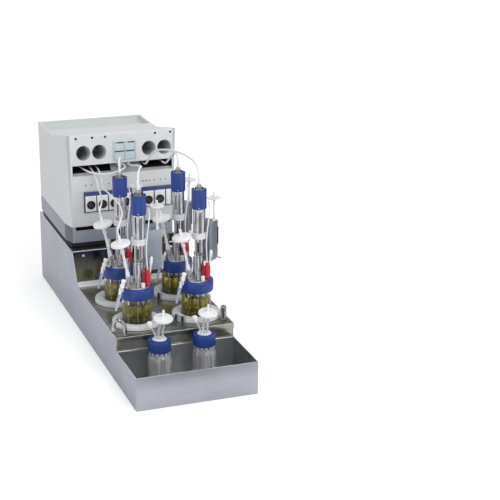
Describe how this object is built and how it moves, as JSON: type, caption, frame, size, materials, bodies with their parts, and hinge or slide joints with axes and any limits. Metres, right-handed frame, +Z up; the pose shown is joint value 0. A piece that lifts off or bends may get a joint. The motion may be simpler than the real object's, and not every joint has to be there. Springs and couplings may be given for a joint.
{
  "type": "bench bioreactor",
  "caption": "Bench bioreactor: stirred glass vessels with overhead drives on a stepped steel base, utility tray in front, gas and sensor module behind.",
  "frame": {"origin": "middle of the flat underside, half way along the overall depth", "axes": "+Z up, +Y from the tray at the front towards the module at the back, +X to the right seen from the front"},
  "size_m": [0.2944, 0.9568, 0.4895],
  "materials": {
    "brushed_steel": "fine brushed stainless sheet",
    "polished_steel": "turned and polished stainless",
    "light_grey_plastic": "fine textured light grey",
    "grey_paint": "satin mid grey",
    "black_rubber": "matt black",
    "black_plastic": "matt black",
    "blue_plastic": "satin moulded blue",
    "white_plastic": "satin moulded white",
    "pale_grey_plastic": "satin pale grey",
    "red_plastic": "gloss red",
    "clear_plastic": "clear moulded",
    "clear_glass": "clear borosilicate",
    "culture_liquid": "yellow green liquid",
    "anodised_aluminium": "matt anodised grey",
    "screen": "lit panel",
    "white_cable": "soft white jacket"
  },
  "bodies": {
    "root": {"base_housing": "brushed_steel", "bottle_filter_1": "white_plastic", "bottle_filter_2": "white_plastic", "bottle_glass_1": "clear_glass", "bottle_glass_2": "clear_glass", "condenser_1": "anodised_aluminium", "condenser_2": "anodised_aluminium", "condenser_3": "anodised_aluminium", "condenser_4": "anodised_aluminium", "display": "screen", "drive_cable_1": "white_cable", "drive_cable_2": "white_cable", "drive_cable_3": "white_cable", "drive_cable_4": "white_cable", "drive_cap_1": "blue_plastic", "drive_cap_2": "blue_plastic", "drive_cap_3": "blue_plastic", "drive_cap_4": "blue_plastic", "drive_housing_1": "polished_steel", "drive_housing_2": "polished_steel", "drive_housing_3": "polished_steel", "drive_housing_4": "polished_steel", "gas_line_1": "white_cable", "gas_line_3": "white_cable", "gooseneck": "polished_steel", "guide_post": "polished_steel", "head_plate_1": "polished_steel", "head_plate_2": "polished_steel", "head_plate_3": "polished_steel", "head_plate_4": "polished_steel", "inlet_filter_1": "white_plastic", "inlet_filter_2": "white_plastic", "inlet_filter_3": "white_plastic", "inlet_filter_4": "white_plastic", "link_cable": "white_cable", "module_base": "grey_paint", "module_housing": "light_grey_plastic", "rubber_mat": "black_rubber", "sensor_inputs_left": "white_plastic", "sensor_inputs_right": "white_plastic", "utility_tray": "brushed_steel", "vessel_glass_1": "clear_glass", "vessel_glass_2": "clear_glass", "vessel_glass_3": "clear_glass", "vessel_glass_4": "clear_glass", "well_collar_1": "pale_grey_plastic", "well_collar_2": "pale_grey_plastic", "well_collar_3": "pale_grey_plastic", "well_collar_4": "pale_grey_plastic"},
    "bottle_cap_1": {"bottle_cap_1": "blue_plastic"},
    "bottle_cap_2": {"bottle_cap_2": "blue_plastic"},
    "screw_ring_1": {"screw_ring_1": "blue_plastic"},
    "screw_ring_2": {"screw_ring_2": "blue_plastic"},
    "screw_ring_3": {"screw_ring_3": "blue_plastic"},
    "screw_ring_4": {"screw_ring_4": "blue_plastic"},
    "stirrer_1": {"stirrer_1": "polished_steel"},
    "stirrer_2": {"stirrer_2": "polished_steel"},
    "stirrer_3": {"stirrer_3": "polished_steel"},
    "stirrer_4": {"stirrer_4": "polished_steel"}
  },
  "joints": [
    {"name": "stirrer_1_spin", "type": "hinge", "parent": "root", "child": "stirrer_1", "pos_m": [-0.0625, -0.235, 0.114], "axis": [0, 0, 1], "continuous": true},
    {"name": "stirrer_2_spin", "type": "hinge", "parent": "root", "child": "stirrer_2", "pos_m": [0.0855, -0.235, 0.114], "axis": [0, 0, 1], "continuous": true},
    {"name": "stirrer_3_spin", "type": "hinge", "parent": "root", "child": "stirrer_3", "pos_m": [-0.0625, -0.075, 0.114], "axis": [0, 0, 1], "continuous": true},
    {"name": "stirrer_4_spin", "type": "hinge", "parent": "root", "child": "stirrer_4", "pos_m": [0.0855, -0.075, 0.114], "axis": [0, 0, 1], "continuous": true},
    {"name": "screw_ring_1_turn", "type": "hinge", "parent": "root", "child": "screw_ring_1", "pos_m": [-0.0705, -0.235, 0.191], "axis": [0, 0, 1], "range_deg": [0, 360]},
    {"name": "screw_ring_2_turn", "type": "hinge", "parent": "root", "child": "screw_ring_2", "pos_m": [0.0775, -0.235, 0.191], "axis": [0, 0, 1], "range_deg": [0, 360]},
    {"name": "screw_ring_3_turn", "type": "hinge", "parent": "root", "child": "screw_ring_3", "pos_m": [-0.0705, -0.075, 0.191], "axis": [0, 0, 1], "range_deg": [0, 360]},
    {"name": "screw_ring_4_turn", "type": "hinge", "parent": "root", "child": "screw_ring_4", "pos_m": [0.0775, -0.075, 0.191], "axis": [0, 0, 1], "range_deg": [0, 360]},
    {"name": "bottle_cap_1_turn", "type": "hinge", "parent": "root", "child": "bottle_cap_1", "pos_m": [-0.0505, -0.35, 0.09], "axis": [0, 0, 1], "range_deg": [0, 360]},
    {"name": "bottle_cap_2_turn", "type": "hinge", "parent": "root", "child": "bottle_cap_2", "pos_m": [0.0585, -0.35, 0.09], "axis": [0, 0, 1], "range_deg": [0, 360]}
  ]
}
